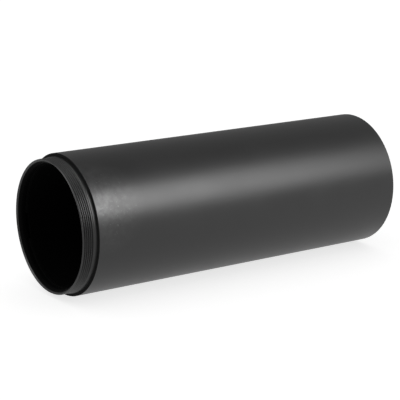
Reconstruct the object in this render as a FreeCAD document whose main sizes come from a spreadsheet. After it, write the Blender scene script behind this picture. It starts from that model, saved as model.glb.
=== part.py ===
"""A two-inch Barlow lens: a long barrel with a male thread at its eyepiece end, a stack of light baffles
inside it, and a screw-in cell at its sky end that holds a negative air-spaced doublet.

Every piece is turned about one axis. Lengths run along that axis from the eyepiece-end rim. The finished
barrel lies along X, with its sky end towards +X, its lowest line on Z = 0 and its middle at X = 0.
"""

import FreeCAD
import Part

import math
import os
from types import SimpleNamespace

import Sketcher

SHEET = "Sizes"
BAFFLES = 3

# alias: (millimetres or degrees, what it is)
SIZES = {
    "tube_radius": (25.4, "outer radius of the barrel, half of two inches"),
    "tube_length": (132.9, "barrel from its shoulder to the sky end"),
    "neck_length": (5.7, "threaded neck in front of the shoulder"),
    "neck_radius": (24.0, "crest of the neck's M48 thread"),
    "thread_pitch": (0.75, "pitch of every thread"),
    "thread_depth": (0.42, "crest to root"),
    "thread_width": (0.66, "width of a thread's groove at its crest"),
    "thread_flat": (0.08, "width of a thread's groove at its root"),
    "thread_overrun": (0.05, "how far the groove's cutter stands clear of the crest"),
    "neck_thread_start": (0.36, "how far in front of the rim the neck thread's cutter starts"),
    "neck_thread_end": (3.95, "rim to where the neck thread's groove ends"),
    "land_start": (4.35, "rim to the plain land between the neck's thread and the shoulder"),
    "land_radius": (24.2, "outer radius of that land"),
    "edge_break": (0.3, "chamfer on the outer corner of the sky end"),
    "rim_break": (0.3, "chamfer on the outer corner of the rim"),
    "shoulder_break": (0.05, "chamfer on the shoulder's corner"),
    "mouth_radius": (23.6, "opening at the rim, at the wide end of its inner chamfer"),
    "mouth_break": (0.5, "chamfer on the inner corner of the rim"),
    "lead_in": (1.6, "rim to the narrow end of the lead-in cone"),
    "bore_radius": (22.4, "main bore"),
    "clip_start": (3.2, "rim to the groove of the spring clip"),
    "clip_slot": (0.9, "width of that groove"),
    "clip_groove_radius": (23.0, "bottom of that groove"),
    "clip_width": (0.8, "spring clip along the axis"),
    "clip_outer": (22.9, "spring clip's outer radius"),
    "clip_inner": (21.9, "spring clip's inner radius"),
    "clip_sweep": (336.0, "degrees that the spring clip covers"),
    "filter_radius": (23.6, "crest of the M48 filter thread at the sky end"),
    "filter_depth": (4.2, "length of the filter thread"),
    "filter_relief": (24.1, "thread relief behind the filter thread"),
    "cell_zone": (5.0, "sky end to the start of the thread that the cell screws into"),
    "cell_crest": (22.6, "crest of that thread"),
    "cell_relief": (23.1, "relief groove at the inner end of that thread"),
    "cell_relief_width": (0.8, "width of that relief groove"),
    "lip_face": (10.6, "sky end to the lip that stops the cell"),
    "lip_width": (1.5, "thickness of that lip"),
    "lip_radius": (21.6, "opening through that lip"),
    "sleeve_outer": (22.35, "outer radius of the sleeves and baffles"),
    "sleeve_inner": (21.75, "inner radius of the sleeves"),
    "baffle_first": (34.0, "rim to the first baffle"),
    "baffle_step": (30.0, "from one baffle to the next"),
    "baffle_width": (0.8, "thickness of a baffle"),
    "baffle_opening": (21.0, "opening of the first baffle, as a radius"),
    "baffle_taper": (0.3, "how much smaller each next opening is"),
    "baffle_bevel": (1.1, "radial width of a baffle's bevel"),
    "baffle_edge": (0.15, "thickness left at a baffle's edge"),
    "cell_radius": (22.94, "crest of the cell's thread"),
    "cell_front": (5.2, "sky end to the cell's outer face"),
    "cell_flange": (4.4, "threaded length of the cell"),
    "cell_land": (22.5, "plain land at each end of the cell's thread, just under its root"),
    "cell_land_width": (0.4, "width of each land"),
    "snout_radius": (21.4, "outer radius of the cell's snout"),
    "cell_back": (21.4, "sky end to the snout's inner end"),
    "seat_width": (1.0, "thickness of the lens seat"),
    "seat_radius": (19.4, "clear opening of the lens seat"),
    "lens_bore": (20.5, "bore for the lenses"),
    "lens_radius": (20.45, "radius of both lenses"),
    "ring_bore": (21.0, "bore for the retaining ring"),
    "ring_radius": (20.95, "outer radius of the retaining ring"),
    "ring_inner": (19.2, "inner radius of the retaining ring"),
    "ring_width": (2.1, "thickness of the retaining ring"),
    "slot_width": (1.6, "width of the spanner slots"),
    "slot_depth": (1.0, "depth of the spanner slots"),
    "slot_overrun": (0.5, "how far the slots' cutter runs past the ring's edges"),
    "crown_sky": (75.0, "crown lens: radius of its sky side"),
    "crown_eye": (95.0, "crown lens: radius of its eyepiece side"),
    "crown_edge": (7.5, "crown lens: thickness at its edge"),
    "flint_sky": (140.0, "flint lens: radius of its sky side"),
    "flint_eye": (76.0, "flint lens: radius of its eyepiece side"),
    "flint_edge": (3.2, "flint lens: thickness at its edge"),
    "spacer_width": (0.4, "spacer between the two lenses"),
    "spacer_inner": (19.5, "inner radius of that spacer"),
    "flint_stand_off": (0.27, "spacer to the flint lens's edge, since the lens rests further in"),
    "cushion_width": (0.6, "washer between the flint lens and the retaining ring"),
    "cushion_inner": (19.4, "inner radius of that washer"),
    "seal_cord": (0.49, "half the thickness of the seal ring"),
    "seal_radius": (21.93, "middle radius of the seal ring"),
}


class Size:
    """A number together with the spreadsheet expression that gives it."""

    def __init__(self, text, value):
        self.text = text
        self.value = value

    def __add__(self, other):
        other = as_size(other)
        return Size(f"({self.text} + {other.text})", self.value + other.value)

    def __sub__(self, other):
        other = as_size(other)
        return Size(f"({self.text} - {other.text})", self.value - other.value)

    def __mul__(self, other):
        other = as_size(other)
        return Size(f"({self.text} * {other.text})", self.value * other.value)


def as_size(number):
    """A plain number as a Size."""
    return number if isinstance(number, Size) else Size(str(number), float(number))


d = SimpleNamespace(**{alias: Size(f"{SHEET}.{alias}", value) for alias, (value, note) in SIZES.items()})
zero = as_size(0)

total = d.neck_length + d.tube_length
sky_face = total - d.cell_front
flange_back = sky_face - d.cell_flange
snout_end = total - d.cell_back
lip_front = total - d.lip_face
lip_back = lip_front - d.lip_width
cell_groove_start = lip_front + d.cell_relief_width * 0.5
crown_start = snout_end + d.seat_width
spacer_start = crown_start + d.crown_edge
flint_start = spacer_start + d.spacer_width + d.flint_stand_off
cushion_start = flint_start + d.flint_edge
ring_start = cushion_start + d.cushion_width

doc = FreeCAD.newDocument("barlow_lens")


def make_sheet():
    """The driving dimensions, one row each: what it is, and its number under its alias."""
    sheet = doc.addObject("Spreadsheet::Sheet", SHEET)
    for row, (alias, (value, note)) in enumerate(SIZES.items(), start=1):
        sheet.set(f"A{row}", note)
        sheet.set(f"B{row}", str(value))
        sheet.setAlias(f"B{row}", alias)
    doc.recompute()


def origin_plane(body, role):
    """One of a body's own origin planes."""
    return next(part for part in body.Origin.OriginFeatures if part.Role == role)


def bind(thing, path, amount):
    """Binds one property to the spreadsheet."""
    thing.setExpression(path, amount.text)


def new_sketch(body, name, role="XY_Plane"):
    """An empty sketch on one of the body's origin planes."""
    sketch = body.newObject("Sketcher::SketchObject", name)
    sketch.AttachmentSupport = [(origin_plane(body, role), "")]
    sketch.MapMode = "FlatFace"
    return sketch


def pin_point(sketch, edge, end, x, y):
    """Fixes one end of an edge at x and y, each bound to the spreadsheet."""
    for kind, amount in (("DistanceX", x), ("DistanceY", y)):
        if amount.value == 0.0:
            axis = -2 if kind == "DistanceX" else -1
            sketch.addConstraint(Sketcher.Constraint("PointOnObject", edge, end, axis))
            continue
        name = f"{kind}_{edge}"
        index = sketch.addConstraint(Sketcher.Constraint(kind, -1, 1, edge, end, amount.value))
        sketch.renameConstraint(index, name)
        sketch.setExpression(f"Constraints.{name}", amount.text)


def draw_outline(sketch, points):
    """A closed outline of straight edges through points of (along the axis, radius)."""
    corners = [FreeCAD.Vector(x.value, r.value, 0) for x, r in points]
    for start, end in zip(corners, corners[1:] + corners[:1]):
        sketch.addGeometry(Part.LineSegment(start, end), False)
    for edge in range(len(points)):
        following = (edge + 1) % len(points)
        sketch.addConstraint(Sketcher.Constraint("Coincident", edge, 2, following, 1))
    for edge, (x, r) in enumerate(points):
        pin_point(sketch, edge, 1, x, r)


def new_body(name):
    """A body lying along X at the height of the barrel's axis, in the finished place."""
    body = doc.addObject("PartDesign::Body", name)
    body.Label = name
    bind(body, "Placement.Base.x", zero - total * 0.5)
    bind(body, "Placement.Base.z", d.tube_radius)
    return body


def revolve(body, sketch, angle=None):
    """Turns a sketch about the axis, all the way round or by the angle given."""
    feature = body.newObject("PartDesign::Revolution", body.Name + "_turned")
    feature.Profile = sketch
    feature.ReferenceAxis = (sketch, ["H_Axis"])
    feature.Angle = 360.0
    if angle is not None:
        bind(feature, "Angle", angle)
    sketch.Visibility = False
    doc.recompute()
    return feature


def turned_body(name, points, angle=None):
    """A body turned from one closed outline."""
    body = new_body(name)
    sketch = new_sketch(body, name + "_outline")
    draw_outline(sketch, points)
    revolve(body, sketch, angle)
    return body


def cut_thread(body, name, start, end, crest, outwards):
    """Cuts a right-hand V groove into a wall of radius crest: a bore's wall if outwards, else a shaft's.

    Start and end are where the groove's middle line starts and ends. It starts on the axis's +Y side.
    """
    reach = d.thread_depth if outwards else zero - d.thread_depth
    clear = crest - d.thread_overrun if outwards else crest + d.thread_overrun
    sketch = new_sketch(body, name + "_groove")
    wide = d.thread_width * 0.5
    narrow = d.thread_flat * 0.5
    draw_outline(
        sketch,
        [
            (start - wide, clear),
            (start - wide, crest),
            (start - narrow, crest + reach),
            (start + narrow, crest + reach),
            (start + wide, crest),
            (start + wide, clear),
        ],
    )
    before = body.Shape.Volume
    helix = body.newObject("PartDesign::SubtractiveHelix", name)
    helix.Profile = sketch
    helix.ReferenceAxis = (sketch, ["H_Axis"])
    helix.Mode = 0
    bind(helix, "Pitch", d.thread_pitch)
    bind(helix, "Height", end - start)
    sketch.Visibility = False
    doc.recompute()
    print(f"{name}: removed {before - body.Shape.Volume:.1f} mm3")


def cut_spanner_slots(body, name, face, inner, outer):
    """Two opposite slots across a ring's sky face, for a pin spanner."""
    sketch = new_sketch(body, name + "_outline", "YZ_Plane")
    bind(sketch, "AttachmentOffset.Base.z", face)
    half = d.slot_width * 0.5
    low = inner - d.slot_overrun
    high = outer + d.slot_overrun
    ends = [(low, zero - half), (high, zero - half), (high, half), (low, half)]
    for side in (1, -1):
        first = sketch.GeometryCount
        points = [(x * side, y) for x, y in ends]
        corners = [FreeCAD.Vector(x.value, y.value, 0) for x, y in points]
        for start, end in zip(corners, corners[1:] + corners[:1]):
            sketch.addGeometry(Part.LineSegment(start, end), False)
        for edge in range(4):
            following = first + (edge + 1) % 4
            sketch.addConstraint(Sketcher.Constraint("Coincident", first + edge, 2, following, 1))
            pin_point(sketch, first + edge, 1, *points[edge])
    before = body.Shape.Volume
    pocket = body.newObject("PartDesign::Pocket", name)
    pocket.Profile = sketch
    bind(pocket, "Length", d.slot_depth)
    sketch.Visibility = False
    doc.recompute()
    print(f"{name}: removed {before - body.Shape.Volume:.1f} mm3")


def make_barrel():
    """The long tube: threaded neck, shoulder, bore with the clip's groove, lip, cell bore, filter thread."""
    outside = [
        (zero, d.mouth_radius),
        (zero, d.neck_radius - d.rim_break),
        (d.rim_break, d.neck_radius),
        (d.land_start, d.neck_radius),
        (d.land_start + d.land_radius - d.neck_radius, d.land_radius),
        (d.neck_length, d.land_radius),
        (d.neck_length, d.tube_radius - d.shoulder_break),
        (d.neck_length + d.shoulder_break, d.tube_radius),
        (total - d.edge_break, d.tube_radius),
        (total, d.tube_radius - d.edge_break),
    ]
    clip_end = d.clip_start + d.clip_slot
    filter_end = total - d.filter_depth
    zone_end = total - d.cell_zone
    cell_thread_back = lip_front + d.cell_relief_width
    inside = [
        (total, d.filter_radius + d.thread_depth),
        (total - d.thread_depth, d.filter_radius),
        (filter_end, d.filter_radius),
        (filter_end, d.filter_relief),
        (zone_end, d.filter_relief),
        (zone_end, d.cell_crest + d.thread_depth),
        (zone_end - d.thread_depth, d.cell_crest),
        (cell_thread_back, d.cell_crest),
        (cell_thread_back, d.cell_relief),
        (lip_front, d.cell_relief),
        (lip_front, d.lip_radius),
        (lip_back, d.lip_radius),
        (lip_back, d.bore_radius),
        (clip_end, d.bore_radius),
        (clip_end, d.clip_groove_radius),
        (d.clip_start, d.clip_groove_radius),
        (d.clip_start, d.bore_radius),
        (d.lead_in, d.bore_radius),
        (d.mouth_break, d.mouth_radius - d.mouth_break),
    ]
    body = turned_body("barrel_tube", outside + inside)
    relief_middle = (filter_end + zone_end) * 0.5
    cut_thread(body, "neck_thread", zero - d.neck_thread_start, d.neck_thread_end, d.neck_radius, False)
    cut_thread(body, "filter_thread", relief_middle, total + d.thread_width, d.filter_radius, True)
    cut_thread(body, "cell_seat_thread", cell_groove_start, relief_middle, d.cell_crest, True)
    return body


def make_spring_clip():
    """The open wire ring that keeps the sleeves and baffles in the bore."""
    end = d.clip_start + d.clip_width
    points = [
        (d.clip_start, d.clip_inner),
        (d.clip_start, d.clip_outer),
        (end, d.clip_outer),
        (end, d.clip_inner),
    ]
    return turned_body("spring_clip", points, d.clip_sweep)


def baffle_place(number):
    """Where a baffle starts along the axis."""
    return d.baffle_first + d.baffle_step * number


def make_baffle(number):
    """A thin ring whose opening has a sharp bevelled edge."""
    start = baffle_place(number)
    end = start + d.baffle_width
    opening = d.baffle_opening - d.baffle_taper * number
    points = [
        (start, opening),
        (start, d.sleeve_outer),
        (end, d.sleeve_outer),
        (end, opening + d.baffle_bevel),
        (start + d.baffle_edge, opening),
    ]
    return turned_body(f"baffle_ring_{number + 1}", points)


def make_sleeve(number, start, end):
    """A thin tube, flocked inside, that spaces two baffles."""
    points = [
        (start, d.sleeve_inner),
        (start, d.sleeve_outer),
        (end, d.sleeve_outer),
        (end, d.sleeve_inner),
    ]
    return turned_body(f"flocked_sleeve_{number + 1}", points)


def make_baffle_stack():
    """Baffles, and between them sleeves, from the spring clip to the lip."""
    starts = [d.clip_start + d.clip_slot]
    ends = []
    for number in range(BAFFLES):
        ends.append(baffle_place(number))
        starts.append(baffle_place(number) + d.baffle_width)
    ends.append(lip_back)
    baffles = [make_baffle(number) for number in range(BAFFLES)]
    sleeves = [make_sleeve(number, start, end) for number, (start, end) in enumerate(zip(starts, ends))]
    return baffles + sleeves


def make_cell_housing():
    """The ring that screws into the sky end: a threaded flange, a snout with the lens seat, two slots.

    Its groove starts half a pitch from the barrel's own, so that the two threads are in mesh.
    """
    thread_back = flange_back + d.cell_land_width
    thread_front = sky_face - d.cell_land_width
    slope = d.cell_radius - d.cell_land
    points = [
        (snout_end, d.seat_radius),
        (snout_end, d.snout_radius),
        (flange_back, d.snout_radius),
        (flange_back, d.cell_land),
        (thread_back, d.cell_land),
        (thread_back + slope, d.cell_radius),
        (thread_front - slope, d.cell_radius),
        (thread_front, d.cell_land),
        (sky_face, d.cell_land),
        (sky_face, d.ring_bore),
        (cushion_start, d.ring_bore),
        (cushion_start, d.lens_bore),
        (crown_start, d.lens_bore),
        (crown_start, d.seat_radius),
    ]
    body = turned_body("cell_housing", points)
    start = cell_groove_start + d.thread_pitch * 0.5
    cut_thread(body, "cell_thread", start, sky_face, d.cell_radius, False)
    cut_spanner_slots(body, "cell_slots", sky_face, d.ring_bore, d.cell_radius)
    return body


def make_plain_ring(name, start, width, inner, outer):
    """A flat ring."""
    end = start + width
    return turned_body(name, [(start, inner), (start, outer), (end, outer), (end, inner)])


def make_lens_spacer():
    """The thin ring that keeps the two lenses apart."""
    return make_plain_ring("lens_spacer", spacer_start, d.spacer_width, d.spacer_inner, d.lens_radius)


def make_cushion_washer():
    """The soft washer between the flint lens and the retaining ring."""
    return make_plain_ring("cushion_washer", cushion_start, d.cushion_width, d.cushion_inner, d.lens_radius)


def make_retaining_ring():
    """The ring that holds the lenses in the cell, with two spanner slots."""
    body = make_plain_ring("retaining_ring", ring_start, d.ring_width, d.ring_inner, d.ring_radius)
    cut_spanner_slots(body, "ring_slots", ring_start + d.ring_width, d.ring_inner, d.ring_radius)
    return body


def draw_surface(sketch, radius, edge_x, bulge):
    """An arc from the axis to the lens's edge. Its centre is on the axis, towards +X if bulge is -1."""
    centre_x = edge_x.value - bulge * math.sqrt(radius.value**2 - d.lens_radius.value**2)
    tilt = math.asin(d.lens_radius.value / radius.value)
    circle = Part.Circle(FreeCAD.Vector(centre_x, 0, 0), FreeCAD.Vector(0, 0, 1), radius.value)
    turn = (0.0, tilt) if bulge > 0 else (math.pi - tilt, math.pi)
    arc = sketch.addGeometry(Part.ArcOfCircle(circle, *turn), False)
    on_axis, on_edge = (1, 2) if bulge > 0 else (2, 1)
    sketch.addConstraint(Sketcher.Constraint("PointOnObject", arc, 3, -1))
    sketch.addConstraint(Sketcher.Constraint("PointOnObject", arc, on_axis, -1))
    index = sketch.addConstraint(Sketcher.Constraint("Radius", arc, radius.value))
    sketch.renameConstraint(index, f"Radius_{arc}")
    sketch.setExpression(f"Constraints.Radius_{arc}", radius.text)
    pin_point(sketch, arc, on_edge, edge_x, d.lens_radius)
    return arc, on_axis, on_edge


def make_lens(name, start, edge, eye_radius, eye_bulge, sky_radius, sky_bulge):
    """A round lens with a ground edge. A bulge of 1 puts a surface's centre on its eyepiece side."""
    body = new_body(name)
    sketch = new_sketch(body, name + "_outline")
    near = draw_surface(sketch, eye_radius, start, eye_bulge)
    far = draw_surface(sketch, sky_radius, start + edge, sky_bulge)
    ends = []
    for arc, on_axis, on_edge in (near, far):
        shape = sketch.Geometry[arc]
        first, last = shape.StartPoint, shape.EndPoint
        ends.append((first, last) if on_axis == 1 else (last, first))
    rim = sketch.addGeometry(Part.LineSegment(ends[0][1], ends[1][1]), False)
    spine = sketch.addGeometry(Part.LineSegment(ends[0][0], ends[1][0]), False)
    for line, role in ((rim, 2), (spine, 1)):
        for end, surface in ((1, near), (2, far)):
            sketch.addConstraint(Sketcher.Constraint("Coincident", line, end, surface[0], surface[role]))
    revolve(body, sketch)
    return body


def make_lenses():
    """The crown lens, hollow on both sides, and the flint meniscus in front of it."""
    crown = make_lens("crown_lens", crown_start, d.crown_edge, d.crown_eye, 1, d.crown_sky, -1)
    flint = make_lens("flint_lens", flint_start, d.flint_edge, d.flint_eye, -1, d.flint_sky, -1)
    return [crown, flint]


def make_seal_ring():
    """The round rubber ring between the cell's flange and the barrel's lip."""
    body = new_body("cell_seal_ring")
    sketch = new_sketch(body, "cell_seal_ring_outline")
    middle = (lip_front + flange_back) * 0.5
    centre = FreeCAD.Vector(middle.value, d.seal_radius.value, 0)
    circle = Part.Circle(centre, FreeCAD.Vector(0, 0, 1), d.seal_cord.value)
    edge = sketch.addGeometry(circle, False)
    index = sketch.addConstraint(Sketcher.Constraint("Radius", edge, d.seal_cord.value))
    sketch.renameConstraint(index, "Radius_seal")
    sketch.setExpression("Constraints.Radius_seal", d.seal_cord.text)
    pin_point(sketch, edge, 3, middle, d.seal_radius)
    revolve(body, sketch)
    return body


def make_all():
    """Every piece of the lens, in the order in which it is put together."""
    make_sheet()
    pieces = [make_barrel(), make_spring_clip()]
    pieces += make_baffle_stack()
    pieces += [make_seal_ring(), make_cell_housing()]
    pieces += make_lenses()
    pieces += [make_lens_spacer(), make_cushion_washer(), make_retaining_ring()]
    return pieces


def check(pieces):
    """Stops if any object failed to build, or if any piece is empty or broken."""
    for thing in doc.Objects:
        if "Invalid" in thing.State or "Error" in thing.State:
            raise RuntimeError(f"{thing.Name} did not build: {thing.State}")
    for body in pieces:
        shape = body.Shape
        if shape.isNull() or not shape.isValid() or shape.Volume <= 0:
            raise RuntimeError(f"{body.Label} has no valid shape")
        print(f"{body.Label}: {len(shape.Solids)} solid, {shape.Volume:.1f} mm3")


def write(pieces):
    """One STEP file for each piece, named after it."""
    os.makedirs("parts", exist_ok=True)
    for body in pieces:
        body.Shape.exportStep(f"parts/{body.Label}.step")


all_pieces = make_all()
doc.recompute()
check(all_pieces)
write(all_pieces)
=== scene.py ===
"""The looks of a long two-inch Barlow lens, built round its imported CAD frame.

Everything is in metres in the frame's own coordinates: the barrel lies along X, its open mouth towards -X
and its sky end towards +X, and it rests on z = 0. Light comes from a pale world, a very soft overhead light
and two soft panels: the key, which draws the long highlight on the satin tube, and a fill for the mouth's
end.
"""

import math

import bpy
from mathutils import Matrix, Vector


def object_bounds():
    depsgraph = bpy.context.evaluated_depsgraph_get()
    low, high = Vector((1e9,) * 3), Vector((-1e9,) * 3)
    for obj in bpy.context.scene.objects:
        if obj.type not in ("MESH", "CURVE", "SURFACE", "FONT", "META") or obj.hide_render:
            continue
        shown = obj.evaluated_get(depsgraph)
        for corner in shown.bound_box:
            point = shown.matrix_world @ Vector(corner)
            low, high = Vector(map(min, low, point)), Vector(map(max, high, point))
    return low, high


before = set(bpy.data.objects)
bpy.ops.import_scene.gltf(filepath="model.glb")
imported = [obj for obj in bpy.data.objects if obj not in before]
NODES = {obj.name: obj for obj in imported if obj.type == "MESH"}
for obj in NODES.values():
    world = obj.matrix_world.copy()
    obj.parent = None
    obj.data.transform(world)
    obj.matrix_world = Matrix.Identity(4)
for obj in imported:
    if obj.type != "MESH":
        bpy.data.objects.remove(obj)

MM = 0.001

CAD_LOW, CAD_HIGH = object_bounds()
MIDDLE = (CAD_LOW + CAD_HIGH) / 2

# The camera looks at a point close to the middle. Its angles are in degrees, its lens and sensor are in
# millimetres, and its distance and its aim's shift to the left and up are in metres
VIEW_AZIMUTH = -34.98
VIEW_ELEVATION = 13.67
VIEW_DISTANCE = 0.5353
VIEW_SIDE = 0.0039
VIEW_RISE = 0.0001
LENS = 128.45
SENSOR = 36.0

# Places along the barrel's axis
RIM = CAD_LOW.x
SHOULDER = RIM + 5.7 * MM
SKY_END = CAD_HIGH.x

# Distances from the barrel's axis: its outside, the land beside the shoulder, and the bore's paint
TUBE_OUT = (CAD_HIGH.y - CAD_LOW.y) / 2
LAND_OUT = 24.2 * MM
PAINTED_OUT = 23.1 * MM

# The widths of a worn corner, of a soft end, and of the bare corner beside the step's painted shade
EDGE = 0.35 * MM
SOFT_END = 0.02 * MM
BARE_CORNER = 0.06 * MM

# How far in from the rim the bore's paint goes on darkening, a painted shade that deepens into the tube
PAINT_SHADE_FADE = 3.5 * MM

# The patch behind the shoulder that hands have rubbed. It is placed where the key's highlight falls, and
# its lighter colour there is partly a painted highlight
RUBBED_HIGHLIGHT_SPOT = (SHOULDER + 2 * MM, -22.5 * MM, 37 * MM)
RUBBED_HIGHLIGHT_SIZE = 18 * MM

# Scales of noise, in repeats per metre. The rings have one for each axis
LATHE_RINGS = (9000.0, 6.0, 6.0)
ANODISED_GRAIN = 5200.0
MOTTLE = 55.0
FLOOR_CLOUDS = 4.0

# Most of a noise's values lie between these
NOISE_LOW = 0.3
NOISE_HIGH = 0.7

# Where a colour mix node keeps its two colours and its result
FIRST_COLOUR = 6
SECOND_COLOUR = 7
MIXED_COLOUR = 2


def set_inputs(node, values):
    """Sets several of a node's sockets by name."""
    for name, value in values.items():
        node.inputs[name].default_value = value


class Shader:
    """A material's node tree, with short calls for the nodes used here."""

    def __init__(self, name):
        self.material = bpy.data.materials.new(name)
        self.material.use_nodes = True
        self.tree = self.material.node_tree
        self.body = next(n for n in self.tree.nodes if n.type == "BSDF_PRINCIPLED")
        self.place = self.add("ShaderNodeTexCoord").outputs["Object"]

    def add(self, kind, **values):
        """A new node with its plain properties set."""
        node = self.tree.nodes.new(kind)
        for name, value in values.items():
            setattr(node, name, value)
        return node

    def link(self, source, target):
        self.tree.links.new(source, target)

    def math(self, operation, first, second=0.0, clamp=False):
        """One math node. Either value may be a number or another node's output."""
        node = self.add("ShaderNodeMath", operation=operation, use_clamp=clamp)
        for socket, value in zip(node.inputs, (first, second)):
            if isinstance(value, (int, float)):
                socket.default_value = value
            else:
                self.link(value, socket)
        return node.outputs[0]

    def stretch(self, scale):
        """The place in the frame, scaled differently along each axis."""
        node = self.add("ShaderNodeMapping")
        set_inputs(node, {"Scale": scale})
        self.link(self.place, node.inputs["Vector"])
        return node.outputs[0]

    def noise(self, scale, detail=3.0, roughness=0.5, vector=None):
        """A noise value from 0 to 1. The scale is in repeats per metre."""
        node = self.add("ShaderNodeTexNoise")
        set_inputs(node, {"Scale": scale, "Detail": detail, "Roughness": roughness})
        self.link(vector or self.place, node.inputs["Vector"])
        return node.outputs["Fac"]

    def range(self, value, low, high, to_low, to_high):
        """Maps low..high to to_low..to_high, and holds at the ends. The last two may be nodes' outputs."""
        node = self.add("ShaderNodeMapRange", clamp=True)
        set_inputs(node, {"From Min": low, "From Max": high})
        for name, target in (("To Min", to_low), ("To Max", to_high)):
            if isinstance(target, (int, float)):
                node.inputs[name].default_value = target
            else:
                self.link(target, node.inputs[name])
        self.link(value, node.inputs["Value"])
        return node.outputs[0]

    def between(self, value, low, high):
        """1 between low and high, 0 outside, with soft ends."""
        half = SOFT_END / 2
        rise = self.range(value, low - half, low + half, 0.0, 1.0)
        fall = self.range(value, high - half, high + half, 1.0, 0.0)
        return self.math("MULTIPLY", rise, fall)

    def near(self, point, reach):
        """1 at a point, falling to 0 at the reach from it."""
        node = self.add("ShaderNodeVectorMath", operation="DISTANCE")
        self.link(self.place, node.inputs[0])
        node.inputs[1].default_value = point
        return self.range(node.outputs["Value"], 0.0, reach, 1.0, 0.0)

    def mix(self, share, first, second):
        """Blends two colours, each a tuple or another node's output."""
        node = self.add("ShaderNodeMix", data_type="RGBA")
        self.link(share, node.inputs["Factor"])
        for index, value in ((FIRST_COLOUR, first), (SECOND_COLOUR, second)):
            if isinstance(value, tuple):
                node.inputs[index].default_value = value
            else:
                self.link(value, node.inputs[index])
        return node.outputs[MIXED_COLOUR]

    def bump(self, height, strength, distance, under=None):
        """A bump, on top of another one if given."""
        node = self.add("ShaderNodeBump")
        set_inputs(node, {"Strength": strength, "Distance": distance})
        self.link(height, node.inputs["Height"])
        if under is not None:
            self.link(under, node.inputs["Normal"])
        return node.outputs[0]


def grey(value):
    """A neutral colour."""
    return (value, value, value, 1.0)


def axis_places(shader):
    """The place along the barrel's axis, and the distance from that axis, both in metres."""
    split = shader.add("ShaderNodeSeparateXYZ")
    shader.link(shader.place, split.inputs[0])
    across = split.outputs["Y"]
    above = shader.math("SUBTRACT", split.outputs["Z"], MIDDLE.z)
    squares = shader.math("ADD", shader.math("POWER", across, 2.0), shader.math("POWER", above, 2.0))
    return split.outputs["X"], shader.math("SQRT", squares)


def turned_black(name, colour, roughness):
    """Black anodised aluminium that was turned on a lathe: fine rings, a grain and a soft mottle.

    Returns the shader with its base colour and roughness, which the caller links or lays more over.
    """
    shader = Shader(name)
    depth = 0.02 * MM
    rings = shader.noise(scale=1.0, detail=4.0, roughness=0.7, vector=shader.stretch(LATHE_RINGS))
    cloud = shader.noise(MOTTLE, detail=4.0, roughness=0.55)
    grain = shader.noise(ANODISED_GRAIN, detail=2.0)
    mottle = shader.range(cloud, NOISE_LOW, NOISE_HIGH, 0.0, 1.0)
    base = shader.mix(mottle, grey(colour * 0.9), grey(colour * 1.12))
    rough = shader.range(cloud, NOISE_LOW, NOISE_HIGH, roughness - 0.02, roughness + 0.02)
    grained = shader.bump(grain, 0.25, depth)
    shader.link(shader.bump(rings, 0.22, depth, grained), shader.body.inputs["Normal"])
    set_inputs(shader.body, {"Specular IOR Level": 0.45})
    return shader, base, rough


def cell_finish():
    """The lens cell's turned black, with a few specks of dust."""
    shader, base, rough = turned_black("cell_finish", colour=0.014, roughness=0.4)
    specks = shader.range(shader.noise(scale=900.0, detail=1.0), 0.735, 0.76, 0.0, 0.4)
    shader.link(shader.mix(specks, base, grey(0.08)), shader.body.inputs["Base Color"])
    shader.link(rough, shader.body.inputs["Roughness"])
    return shader.material


def rubbed(shader, along):
    """Where the tube was rubbed by handling: blotches and a few bright scuffs, all behind the shoulder. The
    patch sits where the key's highlight falls, so its lighter colour is partly real wear and partly a
    painted highlight.
    """
    patch = shader.near(RUBBED_HIGHLIGHT_SPOT, RUBBED_HIGHLIGHT_SIZE)
    patch = shader.math("MULTIPLY", patch, shader.range(along, SHOULDER, SHOULDER + EDGE, 0.0, 1.0))
    blotches = shader.range(shader.noise(scale=420.0, detail=4.0, roughness=0.6), 0.4, 0.65, 0.35, 1.0)
    scuffs = shader.range(shader.noise(scale=1100.0, detail=2.0), 0.66, 0.7, 0.0, 1.5)
    return shader.math("MULTIPLY", patch, shader.math("ADD", blotches, scuffs), clamp=True)


def worn_corners(shader, along, out):
    """The rim, and the outer corners of the shoulder and the sky end, worn here and there."""
    rim = shader.between(along, RIM - EDGE, RIM + EDGE)
    shoulder = shader.between(along, SHOULDER - EDGE / 4, SHOULDER + EDGE / 2)
    shoulder = shader.math("MULTIPLY", shoulder, shader.between(out, TUBE_OUT - EDGE / 4, TUBE_OUT + EDGE))
    sky = shader.between(along, SKY_END - EDGE, SKY_END + EDGE)
    sky = shader.math("MULTIPLY", sky, shader.between(out, TUBE_OUT - EDGE, TUBE_OUT + EDGE))
    corners = shader.math("MAXIMUM", rim, shader.math("MAXIMUM", shoulder, sky))
    wear = shader.range(shader.noise(scale=160.0), 0.45, 0.65, 0.1, 1.0)
    return shader.math("MULTIPLY", corners, wear)


def matt_paint_and_shade(shader, along, out):
    """The matt black paint of the bore, made darker further in by painted shade, and painted shade on the
    shoulder's step, a slightly lighter black that stands in for its dark face.

    Returns where the paint and the painted shade are, from 0 to 1, and their colour.
    """
    # The bore's black runs from the rim's colour to a darker one further in, which is painted shade; the
    # step's colour is painted shade as well
    at_rim = grey(0.014)
    deep_inside_shade = grey(0.003)
    step_painted_shade = grey(0.028)
    bore = shader.range(out, PAINTED_OUT - SOFT_END, PAINTED_OUT, 1.0, 0.0)
    # The shoulder's step, painted dark as painted shade for its face
    step = shader.between(along, SHOULDER - SOFT_END, SHOULDER + SOFT_END)
    step = shader.math("MULTIPLY", step, shader.between(out, LAND_OUT, TUBE_OUT - BARE_CORNER))
    # Painted shade: the bore darkens further from the rim
    further_in_shade = shader.range(along, RIM, RIM + PAINT_SHADE_FADE, 0.0, 1.0)
    bore_black_and_shade = shader.mix(further_in_shade, at_rim, deep_inside_shade)
    return shader.math("MAXIMUM", bore, step), shader.mix(step, bore_black_and_shade, step_painted_shade)


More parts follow.
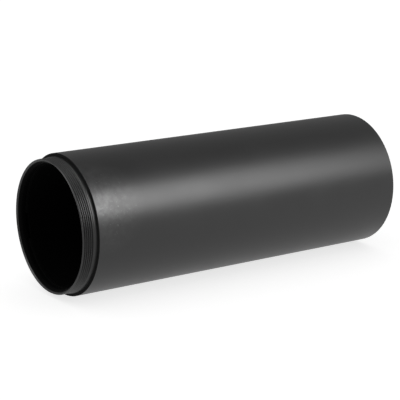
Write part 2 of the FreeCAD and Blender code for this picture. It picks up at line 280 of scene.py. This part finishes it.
def barrel_finish():
    """The barrel's turned black, rubbed and worn in places, with a painted highlight in the rubbed patch,
    matt paint in its bore that painted shade darkens further in, and painted shade on its step.

    The paint is metallic only to lose the shine of plastic, which flat optical black doesn't have.
    """
    # The rubbed patch's lighter metal: partly wear, partly a painted highlight where the key's highlight
    # falls
    rubbed_metal_and_highlight = grey(0.035)
    rubbed_roughness = 0.31
    worn_metal = grey(0.02)
    shader, base, rough = turned_black("barrel_finish", colour=0.006, roughness=0.42)
    along, out = axis_places(shader)
    rub_and_highlight = rubbed(shader, along)
    # The lighter colour laid where the highlight falls is partly a painted highlight; the lower roughness
    # is the real burnish
    base = shader.mix(rub_and_highlight, base, rubbed_metal_and_highlight)
    rough = shader.range(rub_and_highlight, 0.0, 1.0, rough, rubbed_roughness)
    base = shader.mix(worn_corners(shader, along, out), base, worn_metal)
    # Paint in the bore, darkened further in by painted shade, and painted shade on the step
    painted, black = matt_paint_and_shade(shader, along, out)
    shader.link(shader.mix(painted, base, black), shader.body.inputs["Base Color"])
    shader.link(shader.range(painted, 0.0, 1.0, rough, 1.0), shader.body.inputs["Roughness"])
    shader.link(painted, shader.body.inputs["Metallic"])
    return shader.material


def simple_black(name, colour, roughness, grain, depth, gloss):
    """A dull black surface with a grain, given in repeats per metre, for what sits inside the tube."""
    shader = Shader(name)
    bumps = shader.noise(grain, roughness=0.6)
    rough = shader.range(bumps, NOISE_LOW, NOISE_HIGH, roughness - 0.05, roughness)
    shader.link(shader.mix(bumps, grey(colour * 0.7), grey(colour * 1.3)), shader.body.inputs["Base Color"])
    shader.link(rough, shader.body.inputs["Roughness"])
    shader.link(shader.bump(bumps, 0.5, depth), shader.body.inputs["Normal"])
    set_inputs(shader.body, {"Specular IOR Level": gloss})
    return shader.material


def coated_glass(name):
    """Clear glass with a faint green coating and a little dust."""
    shader = Shader(name)
    dust = shader.range(shader.noise(scale=1500.0, detail=2.0), 0.72, 0.76, 0.0, 0.5)
    coating = (0.97, 0.99, 0.98, 1.0)
    shader.link(shader.mix(dust, coating, grey(0.85)), shader.body.inputs["Base Color"])
    shader.link(shader.range(dust, 0.0, 1.0, 0.015, 0.12), shader.body.inputs["Roughness"])
    set_inputs(shader.body, {"Transmission Weight": 1.0, "IOR": 1.52})
    return shader.material


def paint(material, names):
    """Gives CAD nodes a material."""
    for name in names:
        mesh = NODES[name].data
        mesh.materials.clear()
        mesh.materials.append(material)


def named(start):
    """The names of the CAD nodes that start with this word."""
    return [name for name in NODES if name.startswith(start)]


def paint_all():
    """Every CAD node's finish."""
    flock = simple_black("flocking", 0.0008, roughness=1.0, grain=2600.0, depth=0.15 * MM, gloss=0.03)
    baffle = simple_black("baffle_paint", 0.003, roughness=0.9, grain=1800.0, depth=0.03 * MM, gloss=0.2)
    rubber = simple_black("seal_rubber", 0.012, roughness=0.6, grain=1500.0, depth=0.01 * MM, gloss=0.4)
    plastic = simple_black("dull_plastic", 0.015, roughness=0.55, grain=1200.0, depth=0.01 * MM, gloss=0.4)
    steel = simple_black("spring_steel", 0.0015, roughness=0.9, grain=2000.0, depth=0.01 * MM, gloss=0.04)
    paint(barrel_finish(), ["barrel_tube"])
    paint(cell_finish(), ["cell_housing", "retaining_ring"])
    paint(flock, named("flocked_sleeve"))
    paint(baffle, named("baffle_ring"))
    paint(rubber, ["cell_seal_ring"])
    paint(plastic, ["lens_spacer", "cushion_washer"])
    paint(steel, ["spring_clip"])
    paint(coated_glass("crown_coating"), ["crown_lens"])
    paint(coated_glass("flint_coating"), ["flint_lens"])


def view_axes():
    """The camera's right, up and backward directions."""
    turn = math.radians(VIEW_AZIMUTH)
    rise = math.radians(VIEW_ELEVATION)
    back = Vector((math.sin(turn) * math.cos(rise), -math.cos(turn) * math.cos(rise), math.sin(rise)))
    right = Vector((math.cos(turn), math.sin(turn), 0.0))
    return right, back.cross(right), back


def make_camera():
    """A camera with a long lens, which looks down a little at the mouth's side."""
    right, up, back = view_axes()
    data = bpy.data.cameras.new("camera")
    data.lens = LENS
    data.sensor_width = SENSOR
    camera = bpy.data.objects.new("camera", data)
    aim = MIDDLE - right * VIEW_SIDE + up * VIEW_RISE
    camera.location = aim + back * VIEW_DISTANCE
    camera.rotation_mode = "QUATERNION"
    camera.rotation_quaternion = back.to_track_quat("Z", "Y")
    data.clip_start = 10 * MM
    data.clip_end = 50.0
    bpy.context.scene.collection.objects.link(camera)
    bpy.context.scene.camera = camera


def make_floor(half):
    """A plain pale floor, far larger than the view. It glows a little, so that it renders white."""
    corners = [(-half, -half, 0.0), (half, -half, 0.0), (half, half, 0.0), (-half, half, 0.0)]
    mesh = bpy.data.meshes.new("floor")
    mesh.from_pydata(corners, [], [(0, 1, 2, 3)])
    floor = bpy.data.objects.new("floor", mesh)
    bpy.context.scene.collection.objects.link(floor)
    shader = Shader("floor_paper")
    clouds = shader.noise(FLOOR_CLOUDS)
    shader.link(shader.mix(clouds, grey(0.58), grey(0.61)), shader.body.inputs["Base Color"])
    set_inputs(shader.body, {"Roughness": 0.9, "Specular IOR Level": 0.1})
    set_inputs(shader.body, {"Emission Color": grey(1.0), "Emission Strength": 0.74})
    mesh.materials.append(shader.material)
    return floor


def make_panel(name, floor, direction, distance, width, height, power):
    """A soft rectangular light that faces the barrel's middle from a direction, and skips the floor."""
    data = bpy.data.lights.new(name, "AREA")
    data.shape = "RECTANGLE"
    data.size = width
    data.size_y = height
    data.energy = power
    lamp = bpy.data.objects.new(name, data)
    away = Vector(direction).normalized()
    lamp.location = MIDDLE + away * distance
    lamp.rotation_mode = "QUATERNION"
    lamp.rotation_quaternion = away.to_track_quat("Z", "Y")
    bpy.context.scene.collection.objects.link(lamp)
    kept_off = bpy.data.collections.new(name + "_kept_off")
    kept_off.objects.link(floor)
    kept_off.collection_objects[0].light_linking.link_state = "EXCLUDE"
    lamp.light_linking.receiver_collection = kept_off


def make_world(strength):
    """Even light from all around."""
    world = bpy.data.worlds.new("studio")
    world.use_nodes = True
    background = next(n for n in world.node_tree.nodes if n.type == "BACKGROUND")
    set_inputs(background, {"Color": grey(1.0), "Strength": strength})
    bpy.context.scene.world = world


def make_sky(strength):
    """A very soft overhead light. It whitens the floor evenly and leaves no streak along the tube."""
    data = bpy.data.lights.new("overhead", "SUN")
    data.energy = strength
    data.angle = math.radians(120.0)
    lamp = bpy.data.objects.new("overhead", data)
    lamp.visible_glossy = False
    bpy.context.scene.collection.objects.link(lamp)


def make_studio():
    """Lights, floor and tone. Lengths are in metres and the panels' power is in watts."""
    make_world(strength=0.36)
    make_sky(strength=0.6)
    floor = make_floor(half=4.0)
    make_panel("key", floor, (0.36, -0.71, 0.53), distance=0.5, width=0.30, height=0.28, power=2.8)
    make_panel("back_fill", floor, (-0.80, 0.20, 0.56), distance=0.9, width=0.5, height=0.5, power=2.8)
    bpy.context.scene.view_settings.view_transform = "Standard"


make_camera()
make_studio()
paint_all()
